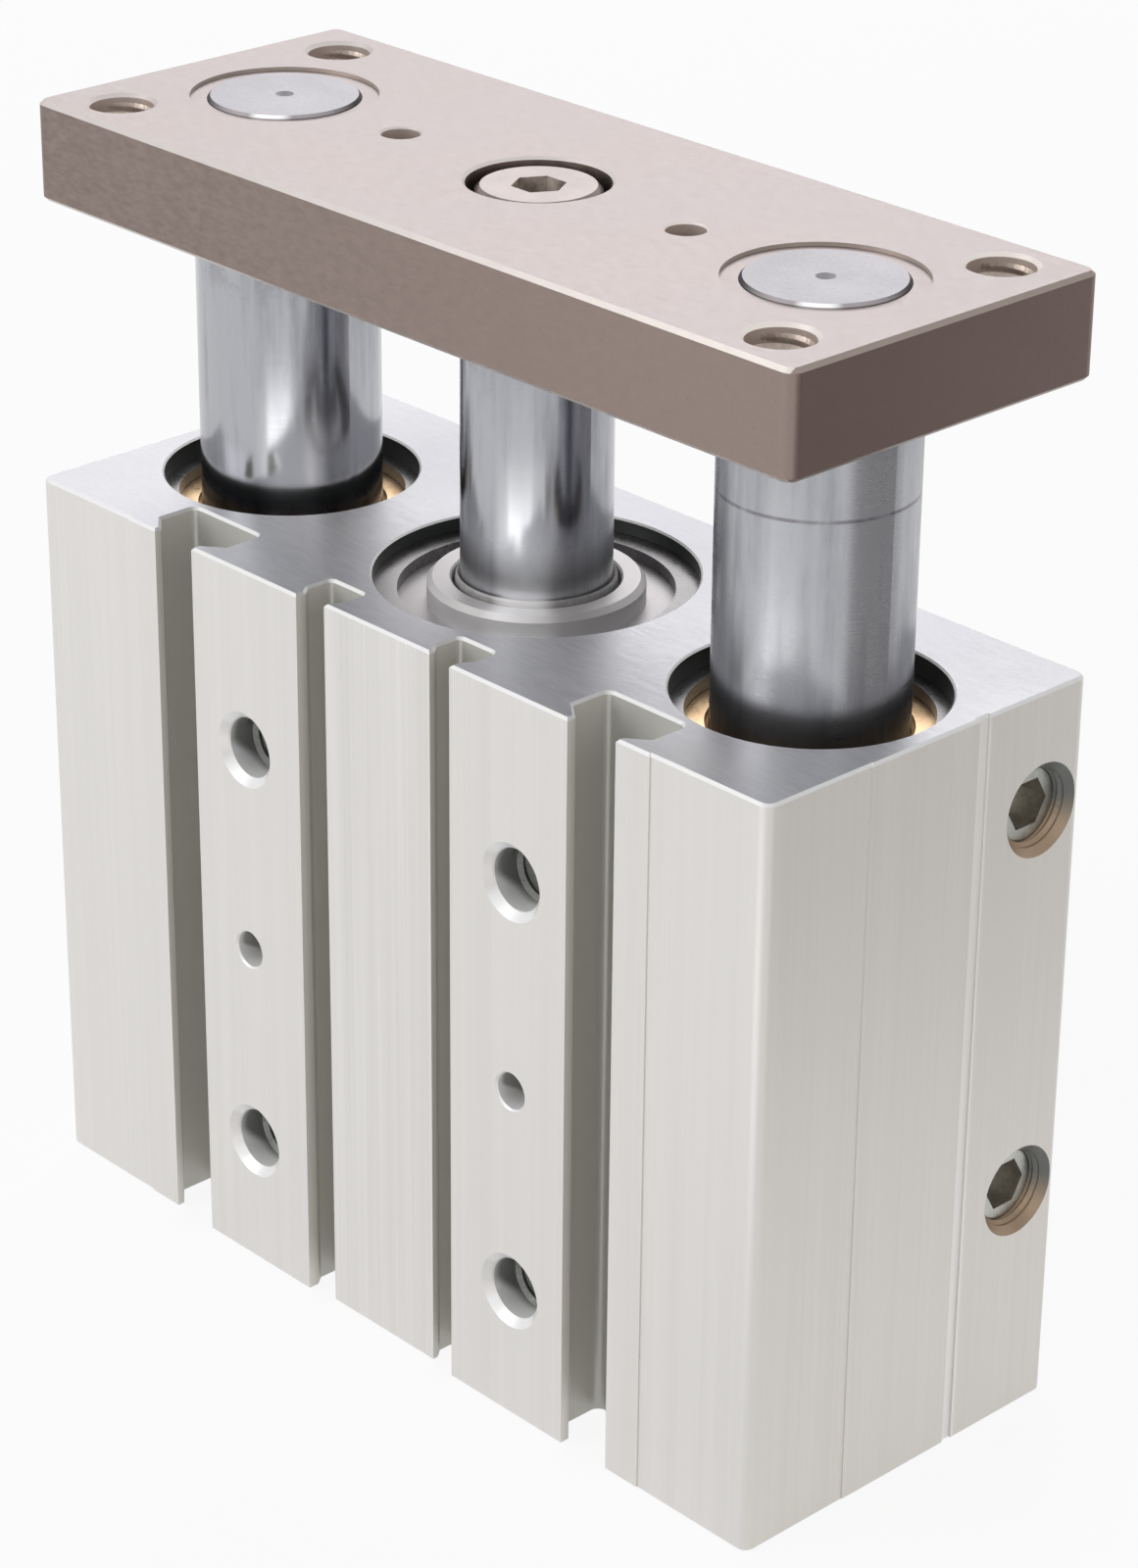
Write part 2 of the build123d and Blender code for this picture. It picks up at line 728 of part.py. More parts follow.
# Piston with grooves for seal, magnet and wear ring, and a nut recess below
seal_low = piston_bottom + piston_seal_low
magnet_bottom = piston_bottom + magnet_low
wear_bottom = piston_bottom + wear_low
piston = turned_part(
    "piston",
    (
        (spigot_radius + static_clearance, piston_top - static_clearance),
        (spigot_radius + static_clearance, piston_bottom + nut_recess_depth),
        (nut_recess_radius, piston_bottom + nut_recess_depth),
        (nut_recess_radius, piston_bottom),
        (piston_radius - piston_chamfer, piston_bottom),
        (piston_radius, piston_bottom + piston_chamfer),
        (piston_radius, seal_low),
        (seal_groove_radius, seal_low),
        (seal_groove_radius, seal_low + piston_seal_height),
        (piston_radius, seal_low + piston_seal_height),
        (piston_radius, magnet_bottom),
        (magnet_groove_radius, magnet_bottom),
        (magnet_groove_radius, magnet_bottom + magnet_height),
        (piston_radius, magnet_bottom + magnet_height),
        (piston_radius, wear_bottom),
        (wear_groove_radius, wear_bottom),
        (wear_groove_radius, wear_bottom + wear_height),
        (piston_radius, wear_bottom + wear_height),
        (piston_radius, piston_top - static_clearance - piston_chamfer),
        (piston_radius - piston_chamfer, piston_top - static_clearance),
    ),
)
piston_seal = sleeve(
    "piston_seal",
    bore_radius - running_clearance,
    seal_groove_radius + static_clearance,
    seal_low + static_clearance,
    seal_low + piston_seal_height - static_clearance,
)
magnet_ring = sleeve(
    "magnet_ring",
    piston_radius - magnet_sunk,
    magnet_groove_radius + static_clearance,
    magnet_bottom + static_clearance,
    magnet_bottom + magnet_height - static_clearance,
)
wear_ring = sleeve(
    "wear_ring",
    bore_radius - running_clearance,
    wear_groove_radius + static_clearance,
    wear_bottom + static_clearance,
    wear_bottom + wear_height - static_clearance,
)
with BuildPart() as piston_nut:
    with BuildSketch(Plane.XY.offset(piston_bottom + nut_recess_depth - static_clearance - nut_height)):
        RegularPolygon(nut_across_flats / 2, 6, major_radius=False)
        Circle(spigot_radius + thread_clearance, mode=Mode.SUBTRACT)
    extrude(amount=nut_height)
piston_nut.part.label = "piston_nut"

# Guide rods, stepped at the top to pass through the plate and end flush with it
guide_rods = []
for name, side in sides:
    guide_rods.append(
        turned_part(
            "guide_rod_" + name,
            (
                (0, guide_bottom),
                (guide_radius - guide_low_chamfer, guide_bottom),
                (guide_radius, guide_bottom + guide_low_chamfer),
                (guide_radius, plate_bottom - static_clearance),
                (guide_end_radius, plate_bottom - static_clearance),
                (guide_end_radius, plate_top - guide_end_chamfer),
                (guide_end_radius - guide_end_chamfer, plate_top),
                (end_mark_radius, plate_top),
                (0, plate_top - end_mark_depth),
            ),
            side * guide_x,
        )
    )

pieces = [
    body_part,
    rod_cover,
    rod_cover_ring,
    rod_cover_gasket,
    rod_seal,
    rod_bumper,
    head_cover,
    head_cover_ring,
    head_cover_gasket,
    head_bumper,
    passage_plug.part,
    plate_part,
    plate_bolt.part,
    piston_rod,
    piston,
    piston_nut.part,
    piston_seal,
    magnet_ring,
    wear_ring,
]
pieces += guide_parts + plugs + guide_rods
for piece in pieces:
    export_step(piece, "parts/" + piece.label + ".step")
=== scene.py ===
import math

import bpy
from mathutils import Matrix, Vector


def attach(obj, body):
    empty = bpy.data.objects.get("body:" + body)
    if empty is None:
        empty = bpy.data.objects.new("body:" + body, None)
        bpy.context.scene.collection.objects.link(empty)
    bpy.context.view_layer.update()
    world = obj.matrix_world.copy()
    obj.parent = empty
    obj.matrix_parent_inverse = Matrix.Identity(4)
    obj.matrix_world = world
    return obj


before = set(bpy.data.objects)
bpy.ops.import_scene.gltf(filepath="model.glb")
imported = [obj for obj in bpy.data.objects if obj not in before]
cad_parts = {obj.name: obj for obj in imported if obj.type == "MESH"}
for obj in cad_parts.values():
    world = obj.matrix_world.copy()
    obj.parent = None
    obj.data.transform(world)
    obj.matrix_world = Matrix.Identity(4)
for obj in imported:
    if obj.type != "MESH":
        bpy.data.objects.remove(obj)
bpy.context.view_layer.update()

scene = bpy.context.scene
scene.view_settings.view_transform = "Standard"

# Places on the object, in millimetres as in the CAD. Blender's own unit is the metre.
MM = 0.001
FRONT_Y = -22.8
BACK_Y = 22.8
END_X = 56.0
PLATE_TOP = 126.5
GUIDE_X = 39.75
FRONT_HOLE_X = 21.0
FRONT_DOWEL_Z = 39.2
FRONT_HOLE_RISE = 24.0
PLATE_HOLE = (48.5, 15.0)
BOTTOM_HOLE = (50.0, 13.0)
END_PORT_Y = 16.7
BACK_PORT_X = 12.0
PORT_MIDDLE_Z = 49.0
PORT_RISE = 22.0
BOSS_LOW_Z = 79.0
MIDDLE_PAD_HALF = 8.0
HOLE_PAD_HALF = 5.0
SLOTS_REACH_X = 38.0
PLATE_HOLES_REACH_Y = 19.0

# How far from its axis the painted light and shade on each hole's wall reaches, in mm
BORE_REACH = 18.5
GUIDE_BORE_REACH = 15.1
TAPPED_HOLE_REACH = 3.5
DOWEL_HOLE_REACH = 2.1
END_PORT_REACH = 5.15
COUNTERBORE_REACH = 8.5
BOLT_SOCKET_REACH = 3.0

# Directions about the vertical axis, in degrees from +X, of the painted highlights on the rods, the rod
# scraper and the boss
PISTON_HIGHLIGHT = -53
LEFT_HIGHLIGHT = -38
RIGHT_HIGHLIGHT = -64
BOSS_HIGHLIGHT = -52


# Materials

class Surface:
    """A Principled material with short calls for its nodes. A value is a number or a node's output."""

    def __init__(self, name):
        self.material = bpy.data.materials.new(name)
        self.material.use_nodes = True
        self.tree = self.material.node_tree
        self.shader = self.tree.nodes["Principled BSDF"]
        coordinates = self.node("ShaderNodeTexCoord")
        self.point = coordinates.outputs["Object"]
        self.normal = coordinates.outputs["Normal"]

    def node(self, kind):
        return self.tree.nodes.new(kind)

    def link(self, source, target):
        self.tree.links.new(source, target)

    def axes(self, vector):
        split = self.node("ShaderNodeSeparateXYZ")
        self.link(vector, split.inputs[0])
        return split.outputs[0], split.outputs[1], split.outputs[2]

    def math(self, operation, *values):
        made = self.node("ShaderNodeMath")
        made.operation = operation
        for socket, value in zip(made.inputs, values):
            if isinstance(value, (int, float)):
                socket.default_value = value
            else:
                self.link(value, socket)
        return made.outputs[0]

    def size_of(self, value):
        """The value without its sign."""
        return self.math("ABSOLUTE", value)

    def less(self, value, taken):
        return self.math("SUBTRACT", value, taken)

    def add(self, first, second):
        return self.math("ADD", first, second)

    def product(self, first, *others):
        for other in others:
            first = self.math("MULTIPLY", first, other)
        return first

    def mixed(self, first, second, share):
        """A weighted sum: share of the first, and the rest from the second."""
        return self.add(self.product(first, share), self.product(second, 1 - share))

    def length(self, first, second):
        """The distance whose two sides are given."""
        squares = self.add(self.product(first, first), self.product(second, second))
        return self.math("SQRT", squares)

    def span(self, value, low, high, out_low=0.0, out_high=1.0):
        """A smooth step from out_low, where the value is under low, to out_high over high."""
        made = self.node("ShaderNodeMapRange")
        made.interpolation_type = "SMOOTHSTEP"
        self.link(value, made.inputs["Value"])
        limits = (("From Min", low), ("From Max", high), ("To Min", out_low), ("To Max", out_high))
        for name, number in limits:
            made.inputs[name].default_value = number
        return made.outputs["Result"]

    def under(self, value, low, high):
        """1 where the value is under low, fading to 0 at high."""
        return self.span(value, low, high, 1.0, 0.0)

    def within(self, value, limit, fade):
        """1 where a length is under the limit, fading to 0 over fade, both in mm."""
        return self.under(value, limit * MM, (limit + fade) * MM)

    def beyond(self, value, limit, fade):
        """0 where a length is under the limit, rising to 1 over fade, both in mm."""
        return self.span(value, limit * MM, (limit + fade) * MM)

    def sector(self, x, y, degrees, half_width):
        """1 towards one direction about the Z axis, fading to 0 at half_width to its sides."""
        angle = math.radians(degrees)
        towards = self.add(self.product(x, math.cos(angle)), self.product(y, math.sin(angle)))
        cosine = self.math("DIVIDE", towards, self.length(x, y))
        outer = math.cos(math.radians(half_width))
        inner = math.cos(math.radians(half_width / 4))
        return self.span(cosine, outer, inner)

    def noise(self, scale, stretch=(1, 1, 1), detail=3.0, rough=0.55):
        mapping = self.node("ShaderNodeMapping")
        mapping.inputs["Scale"].default_value = stretch
        self.link(self.point, mapping.inputs["Vector"])
        made = self.node("ShaderNodeTexNoise")
        made.inputs["Scale"].default_value = scale
        made.inputs["Detail"].default_value = detail
        made.inputs["Roughness"].default_value = rough
        self.link(mapping.outputs[0], made.inputs["Vector"])
        return made.outputs["Fac"]

    def blend(self, factor, first, second):
        """The first colour where the factor is 0, and the second where it is 1."""
        made = self.node("ShaderNodeMix")
        made.data_type = "RGBA"
        self.link(factor, made.inputs[0])
        for socket, value in ((made.inputs[6], first), (made.inputs[7], second)):
            if isinstance(value, tuple):
                socket.default_value = (*value, 1.0)
            else:
                self.link(value, socket)
        return made.outputs[2]

    def between(self, tone, dark, light, low=0.3, high=0.7):
        """From the dark to the light colour as the tone goes from low to high."""
        return self.blend(self.span(tone, low, high), dark, light)

    def colour(self, output):
        self.link(output, self.shader.inputs["Base Color"])

    def metallic(self, value):
        socket = self.shader.inputs["Metallic"]
        if isinstance(value, float):
            socket.default_value = value
        else:
            self.link(value, socket)

    def roughness(self, value, low, high):
        self.link(self.span(value, 0.25, 0.75, low, high), self.shader.inputs["Roughness"])

    def bump(self, height, depth_mm, strength):
        made = self.node("ShaderNodeBump")
        made.inputs["Strength"].default_value = strength
        made.inputs["Distance"].default_value = depth_mm * MM
        self.link(height, made.inputs["Height"])
        self.link(made.outputs[0], self.shader.inputs["Normal"])


def extrusion_lines(s, across, y):
    """Fine lines along the height, at full strength on the front's middle pad."""
    wide = s.noise(420, (1, 1, 0.012), 2.0)
    fine = s.noise(2300, (1, 1, 0.006), 3.0)
    lines = s.less(s.mixed(wide, fine, 0.5), 0.5)
    middle_pad = s.product(s.within(across, MIDDLE_PAD_HALF, 0.3), s.within(y, FRONT_Y + 0.8, 0.2))
    weight = s.add(s.product(middle_pad, 0.6), 0.4)
    return s.add(s.product(lines, weight), 0.5)


def slot_walls(s, across, y, ny):
    """1 on the walls and floors of the slots between the middle pad and the outer pads."""
    deep = s.product(s.beyond(y, FRONT_Y + 0.1, 1.5), s.within(y, FRONT_Y + 7.9, 0.3))
    inner = s.within(across, SLOTS_REACH_X, 0.2)
    beside_pads = s.beyond(s.size_of(s.less(across, FRONT_HOLE_X * MM)), HOLE_PAD_HALF, 0.2)
    not_facing_front = s.less(1.0, s.under(ny, -0.9, -0.6))
    behind_faces = s.math("MAXIMUM", s.beyond(y, FRONT_Y + 1.8, 0.2), not_facing_front)
    return s.product(deep, inner, beside_pads, behind_faces)


def bore_walls(s, x, y, slope):
    """1 on the upright walls of the cylinder's bore and of the two guide bores."""
    in_bore = s.within(s.length(x, y), BORE_REACH, 0.1)
    from_guide = s.length(s.less(s.size_of(x), GUIDE_X * MM), y)
    in_guide = s.within(from_guide, GUIDE_BORE_REACH, 0.1)
    return s.product(s.math("MAXIMUM", in_bore, in_guide), s.under(slope, 0.2, 0.4))


def port_walls(s, x, y, z, nx):
    """1 inside the two end ports, and 0 on the end face around them."""
    from_z = s.less(s.size_of(s.less(z, PORT_MIDDLE_Z * MM)), PORT_RISE * MM)
    from_y = s.less(y, END_PORT_Y * MM)
    near = s.within(s.length(from_y, from_z), END_PORT_REACH, 0.1)
    return s.product(near, s.under(nx, 0.85, 0.95), s.beyond(x, END_X - 6.0, 1.0))


def front_holes(s, across, y, z):
    """Two masks, 1 within the radius of the front's tapped holes, and of its dowel holes."""
    from_x = s.less(across, FRONT_HOLE_X * MM)
    from_dowel_z = s.size_of(s.less(z, FRONT_DOWEL_Z * MM))
    from_tapped_z = s.less(from_dowel_z, FRONT_HOLE_RISE * MM)
    near_tapped = s.within(s.length(from_x, from_tapped_z), TAPPED_HOLE_REACH, 0.1)
    near_dowel = s.within(s.length(from_x, from_dowel_z), DOWEL_HOLE_REACH, 0.1)
    tapped = s.product(near_tapped, s.within(y, 14.0, 1.2))
    dowel = s.product(near_dowel, s.within(y, 0.0, 1.0))
    return tapped, dowel


def slanted(s, slope):
    """1 on chamfers and countersinks, by the slope of the surface."""
    return s.product(s.span(slope, 0.3, 0.5), s.under(slope, 0.8, 0.95))


def anodised_body():
    """Clear anodised aluminium: extrusion lines on the sides, a milled grain on top and bottom."""
    s = Surface("anodised_body")
    x, y, z = s.axes(s.point)
    nx, ny, nz = s.axes(s.normal)
    across = s.size_of(x)
    slope = s.size_of(nz)
    milled_part = s.span(slope, 0.6, 0.9)
    side_part = s.less(1.0, milled_part)
    milled_grain = s.noise(2600, (0.14, 1, 1), 3.0)
    fine_grain = s.noise(5200, (1, 1, 1), 2.0)
    lines = extrusion_lines(s, across, y)
    tone = s.add(s.product(side_part, lines), s.product(milled_part, milled_grain))

    side = s.between(tone, (0.74, 0.72, 0.70), (0.835, 0.815, 0.79))
    # Painted light: the right end face alone is painted lighter and warmer than the sides
    lit_right_end = s.between(tone, (0.79, 0.755, 0.705), (0.89, 0.855, 0.80))
    milled = s.between(tone, (0.49, 0.50, 0.535), (0.575, 0.585, 0.62))
    face = s.blend(s.span(nx, 0.7, 0.9), side, lit_right_end)
    face = s.blend(milled_part, face, milled)
    patch = s.span(s.noise(38, (1, 1, 0.35), 3.0), 0.35, 0.75)
    face = s.blend(s.product(patch, 0.2), face, (0.79, 0.755, 0.715))

    # Painted shade: the walls and floors of the front slots are painted darker
    shade = s.product(slot_walls(s, across, y, ny), side_part, 0.46)
    face = s.blend(shade, face, (0.40, 0.41, 0.36))
    # Painted highlight: a near-white strip across the right end face
    end_strip_highlight = s.product(s.beyond(y, 6.6, 0.4), s.within(y, 8.3, 0.4))
    face = s.blend(s.product(end_strip_highlight, s.span(nx, 0.5, 0.8)), face, (0.98, 0.96, 0.93))
    # Painted highlight: chamfers and countersinks are painted light grey
    face = s.blend(slanted(s, slope), face, (0.90, 0.90, 0.90))
    # Painted shade: the upright walls of the bores are painted near black
    painted_bore_shade = s.between(tone, (0.022, 0.026, 0.025), (0.045, 0.05, 0.048))
    face = s.blend(bore_walls(s, x, y, slope), face, painted_bore_shade)
    # Painted light and shade in the end ports: walls facing up painted tan as if lit, the others dark grey
    port_light_and_shade = s.blend(s.span(nz, -0.1, 0.6), (0.16, 0.165, 0.155), (0.47, 0.34, 0.23))
    face = s.blend(port_walls(s, x, y, z, nx), face, port_light_and_shade)

    # Painted light and shade in the front holes: the wall is painted pale as if lit at its mouth, and deeper
    # in on its lower side, and painted in grey shade behind that
    tapped, dowel = front_holes(s, across, y, z)
    painted_lit_mouth = s.product(s.math("MAXIMUM", tapped, dowel), s.span(ny, -0.5, -0.3))
    face = s.blend(painted_lit_mouth, face, (0.97, 0.965, 0.96))
    s.metallic(s.span(painted_lit_mouth, 0.0, 1.0, 0.35, 0.0))
    depth = s.less(y, s.span(nz, 0.0, 0.9, 0.0, 2.2 * MM))
    tapped_hole_shade = s.product(tapped, s.beyond(depth, FRONT_Y + 0.3, 1.7))
    dowel_hole_shade = s.product(dowel, s.beyond(depth, FRONT_Y + 0.3, 0.9))
    face = s.blend(tapped_hole_shade, face, (0.26, 0.26, 0.25))
    s.colour(s.blend(dowel_hole_shade, face, (0.45, 0.44, 0.42)))
    s.roughness(s.mixed(tone, fine_grain, 0.6), 0.33, 0.5)
    s.bump(s.mixed(tone, fine_grain, 0.75), 0.02, 0.6)
    return s.material


def turned_aluminium():
    """Machined aluminium: turning rings about the cylinder's axis, upright walls painted lighter as painted
    light, and a painted highlight ray on the boss.
    """
    s = Surface("turned_aluminium")
    s.metallic(0.4)
    x, y, z = s.axes(s.point)
    ring_pitch = 0.16 * MM
    wave = s.math("SINE", s.product(s.length(x, y), 2 * math.pi / ring_pitch))
    rings = s.add(s.product(wave, 0.5), 0.5)
    smear = s.noise(160, (1, 1, 1), 4.0)
    tone = s.mixed(rings, smear, 0.35)
    slope = s.size_of(s.axes(s.normal)[2])
    flat = s.between(tone, (0.56, 0.545, 0.55), (0.72, 0.70, 0.705), 0.25, 0.75)
    # Painted light: upright walls are painted lighter than the flat faces
    wall = s.between(tone, (0.80, 0.79, 0.80), (0.94, 0.93, 0.94), 0.25, 0.75)
    face = s.blend(s.span(slope, 0.1, 0.3), wall, flat)
    # Painted highlight: a near-white ray across the boss's upper faces
    ray = s.product(s.sector(x, y, BOSS_HIGHLIGHT, 24), s.beyond(z, BOSS_LOW_Z, 1.0))
    s.colour(s.blend(ray, face, (1.0, 0.995, 1.0)))
    s.roughness(tone, 0.42, 0.58)
    s.bump(tone, 0.01, 0.5)
    return s.material


def nickel_plate():
    """Satin nickel with a short ground grain, a fine mottle and small specks."""
    s = Surface("nickel_plate")
    x, y, _ = s.axes(s.point)
    nx, _, nz = s.axes(s.normal)
    across = s.size_of(x)
    slope = s.size_of(nz)
    grain = s.noise(2300, (0.35, 1, 1), 4.0, 0.6)
    mottle = s.noise(900, (0.6, 1, 1), 4.0, 0.65)
    cloud = s.noise(45, (1, 1, 1), 4.0)
    speck = s.noise(3800, (1, 1, 1), 2.0)
    tone = s.mixed(grain, mottle, 0.5)

    # Painted shade: the sides are painted darker towards the left end, and the right end face darker still
    side = s.blend(s.beyond(x, -END_X, 106.0), (0.198, 0.157, 0.139), (0.270, 0.213, 0.189))
    side = s.between(tone, side, (0.272, 0.216, 0.193))
    side = s.blend(s.span(nx, 0.75, 0.95), side, (0.217, 0.160, 0.143))
    top = s.between(tone, (0.232, 0.205, 0.202), (0.272, 0.240, 0.235))
    face = s.blend(s.span(nz, 0.8, 0.95), side, top)
    face = s.blend(s.product(s.span(cloud, 0.4, 0.8), 0.2), face, (0.27, 0.215, 0.195))
    face = s.blend(s.product(s.span(speck, 0.66, 0.74), 0.45), face, (0.15, 0.12, 0.105))

    # Painted highlight on the chamfered edges, brighter towards the right; the chamfers at both ends are
    # painted dark
    lit_long_edge = s.blend(s.beyond(x, -30.0, 90.0), (0.57, 0.525, 0.51), (0.74, 0.68, 0.65))
    edge = s.blend(s.beyond(across, END_X - 0.8, 0.1), lit_long_edge, (0.30, 0.25, 0.225))
    face = s.blend(slanted(s, slope), face, edge)

    # Painted light: the walls of the plate's holes, apart from the bolt's counterbore, are painted lighter
    # and less metallic than the plate
    upright = s.under(slope, 0.2, 0.4)
    inside_ends = s.within(across, END_X - 2.0, 0.2)
    inside_sides = s.within(s.size_of(y), PLATE_HOLES_REACH_Y, 0.2)
    off_centre = s.beyond(across, COUNTERBORE_REACH, 0.2)
    lit_hole_wall = s.product(upright, inside_ends, inside_sides, off_centre)
    s.colour(s.blend(lit_hole_wall, face, (0.60, 0.515, 0.465)))
    s.metallic(s.span(lit_hole_wall, 0.0, 1.0, 1.0, 0.5))
    s.roughness(tone, 0.36, 0.5)
    s.bump(s.mixed(tone, speck, 0.8), 0.012, 0.5)
    return s.material


def rod_end(s, x, y, nx, ny, nz):
    """The end of a guide rod in the plate: a ground face, and its chamfered edge painted dark as shade,
    lighter in front, with a painted highlight spot in front.
    """
    lathe_marks = s.noise(2600, (1, 1, 1), 3.0)
    ground = s.between(lathe_marks, (0.262, 0.255, 0.273), (0.292, 0.285, 0.303))
    radius = s.length(s.less(s.size_of(x), GUIDE_X * MM), y)
    on_rim = s.product(s.under(nz, 0.85, 0.95), s.beyond(radius, 5.0, 1.0))
    # Painted shade round the chamfer, lighter in front, with a painted highlight spot in front
    rim = s.blend(s.sector(nx, ny, -48, 80), (0.035, 0.028, 0.033), (0.36, 0.335, 0.345))
    rim = s.blend(s.sector(nx, ny, -51, 18), rim, (0.95, 0.95, 0.97))
    return s.blend(on_rim, ground, rim)


def chrome_rod(name, polish, painted_highlight_angle, painted_highlight_weight, line_height=None, dull_base=0.0):
    """Ground hard chrome: fine rings, smears, and a painted highlight above the body.

    polish is the lowest roughness. line_height is where a wear line runs round the rod, in mm; a rod
    without one has worn spots near its top. dull_base is the roughness added at the rod's base.
    """
    s = Surface(name)
    s.metallic(1.0)
    x, y, z = s.axes(s.point)
    nx, ny, nz = s.axes(s.normal)
    rings = s.noise(5200, (0.02, 0.02, 1), 2.0)
    smear = s.noise(115, (1, 1, 0.3), 5.0, 0.62)
    drag = s.noise(900, (1, 1, 0.05), 3.0)
    mottle = s.noise(420, (1, 1, 0.8), 4.0, 0.7)
    tone = s.mixed(smear, drag, 0.72)

    side = s.between(tone, (0.28, 0.285, 0.31), (0.44, 0.445, 0.47), 0.34, 0.62)
    if line_height is not None:
        line = s.within(s.size_of(s.less(z, line_height * MM)), 0.05, 0.25)
        broken = s.span(s.noise(260, (1, 1, 1), 3.0), 0.3, 0.5)
        side = s.blend(s.product(line, broken, 0.75), side, (0.16, 0.15, 0.17))
    else:
        worn = s.product(s.beyond(z, 103.0, 12.0), s.span(mottle, 0.5, 0.62))
        side = s.blend(s.product(worn, 0.55), side, (0.2, 0.19, 0.2))
    # Painted highlight: a pale vertical band low on the rod, in place of a reflection
    painted_highlight = s.product(s.sector(nx, ny, painted_highlight_angle, 26), s.within(z, 86.0, 17.0))
    side = s.blend(s.product(painted_highlight, painted_highlight_weight), side, (0.82, 0.83, 0.86))
    in_plate = s.beyond(z, PLATE_TOP - 1.0, 0.2)
    s.colour(s.blend(in_plate, side, rod_end(s, x, y, nx, ny, nz)))

    side_rough = s.span(s.mixed(tone, rings, 0.7), 0.25, 0.75, polish + 0.1, polish)
    side_rough = s.add(side_rough, s.span(z, 87 * MM, 93 * MM, dull_base, 0.0))
    end_rough = s.product(in_plate, 0.45 - polish)
    s.link(s.add(side_rough, end_rough), s.shader.inputs["Roughness"])
    s.bump(s.mixed(rings, mottle, 0.85), 0.005, 0.012 / polish)
    return s.material


def grained_metal(name, dark, light, metallic, rough_low, rough_high):
    """Metal with an even grain: bushes, retaining rings and threads."""
    s = Surface(name)
    s.metallic(metallic)
    coarse = s.noise(270, (1, 1, 1), 4.0)
    fine = s.noise(2700, (1, 1, 1), 3.0)
    tone = s.mixed(coarse, fine, 0.6)
    s.colour(s.between(tone, dark, light, 0.32, 0.68))
    s.roughness(tone, rough_low, rough_high)
    s.bump(tone, 0.01, 0.5)
    return s.material


def soft_material(name, dark, light, rough_low, rough_high, scale, painted_highlight=None):
    """Rubber, felt and plastic. painted_highlight is the colour of a highlight painted in line with the
    rod's.
    """
    s = Surface(name)
    fine = s.noise(scale, (1, 1, 1), 5.0, 0.6)
    cloud = s.noise(scale * 0.08, (1, 1, 1), 3.0)
    tone = s.mixed(fine, cloud, 0.6)
    face = s.between(tone, dark, light)
    if painted_highlight is not None:
        x, y, _ = s.axes(s.point)
        face = s.blend(s.sector(x, y, PISTON_HIGHLIGHT, 26), face, painted_highlight)
    s.colour(face)
    s.roughness(tone, rough_low, rough_high)
    s.bump(tone, 0.03, 0.5)
    return s.material


def socket_bolt():
    """Turned steel screw head; the socket walls are painted lighter and less metallic, as painted light."""
    s = Surface("bolt_steel")
    x, y, _ = s.axes(s.point)
    nz = s.axes(s.normal)[2]
    fine = s.noise(2600, (1, 1, 1), 3.0)
    coarse = s.noise(280, (1, 1, 1), 4.0)
    tone = s.mixed(coarse, fine, 0.6)
    face = s.between(tone, (0.19, 0.162, 0.153), (0.262, 0.228, 0.216), 0.35, 0.65)
    # Painted light: the socket walls are painted lighter than the head
    walls = s.product(s.within(s.length(x, y), BOLT_SOCKET_REACH, 0.1), s.under(nz, 0.3, 0.6))
    lit_socket_tone = s.between(coarse, (0.34, 0.28, 0.24), (0.78, 0.69, 0.62), 0.4, 0.6)
    s.colour(s.blend(walls, face, lit_socket_tone))
    s.metallic(s.less(1.0, s.product(walls, 0.6)))
    s.roughness(tone, 0.28, 0.4)
    s.bump(tone, 0.01, 0.5)
    return s.material


def socket_plug():
    """Plated screw plug: its turned face painted bright as a highlight, and its socket walls painted darker
    and browner as shade.
    """
    s = Surface("plug_steel")
    nx = s.axes(s.normal)[0]
    fine = s.noise(2600, (1, 1, 1), 3.0)
    coarse = s.noise(300, (1, 1, 1), 4.0)
    tone = s.mixed(coarse, fine, 0.6)
    face = s.between(tone, (0.48, 0.49, 0.45), (0.66, 0.67, 0.62))
    wall = s.between(tone, (0.26, 0.235, 0.19), (0.46, 0.42, 0.35))
    # Painted highlight on the outward face, painted shade on the socket walls
    outward = s.span(nx, 0.5, 0.9)
    s.colour(s.blend(outward, wall, face))
    s.metallic(s.span(outward, 0.0, 1.0, 0.35, 0.9))
    s.roughness(tone, 0.26, 0.4)
    s.bump(tone, 0.01, 0.5)
    return s.material


body_metal = anodised_body()
turned_metal = turned_aluminium()
bolt_steel = socket_bolt()
plug_steel = socket_plug()
bronze = grained_metal("bearing_bronze", (0.50, 0.33, 0.17), (0.72, 0.53, 0.32), 0.9, 0.24, 0.4)
ring_steel = grained_metal("ring_steel", (0.12, 0.117, 0.12), (0.2, 0.195, 0.2), 0.9, 0.24, 0.36)
# Painted light: the plate's threads are painted a lighter brown than the plate
lit_plate_thread = grained_metal("lit_plate_thread", (0.36, 0.30, 0.26), (0.58, 0.50, 0.445), 0.7, 0.34, 0.5)
# Painted shade: the front holes' threads are painted dark grey, unlike the body around them
shaded_front_thread = grained_metal("shaded_tapped_hole", (0.18, 0.18, 0.172), (0.32, 0.32, 0.305), 0.5, 0.35, 0.5)
rubber = soft_material("black_rubber", (0.03, 0.028, 0.027), (0.075, 0.07, 0.068), 0.4, 0.58, 1500)
bumper = soft_material("bumper_rubber", (0.03, 0.027, 0.022), (0.07, 0.062, 0.05), 0.6, 0.8, 900)
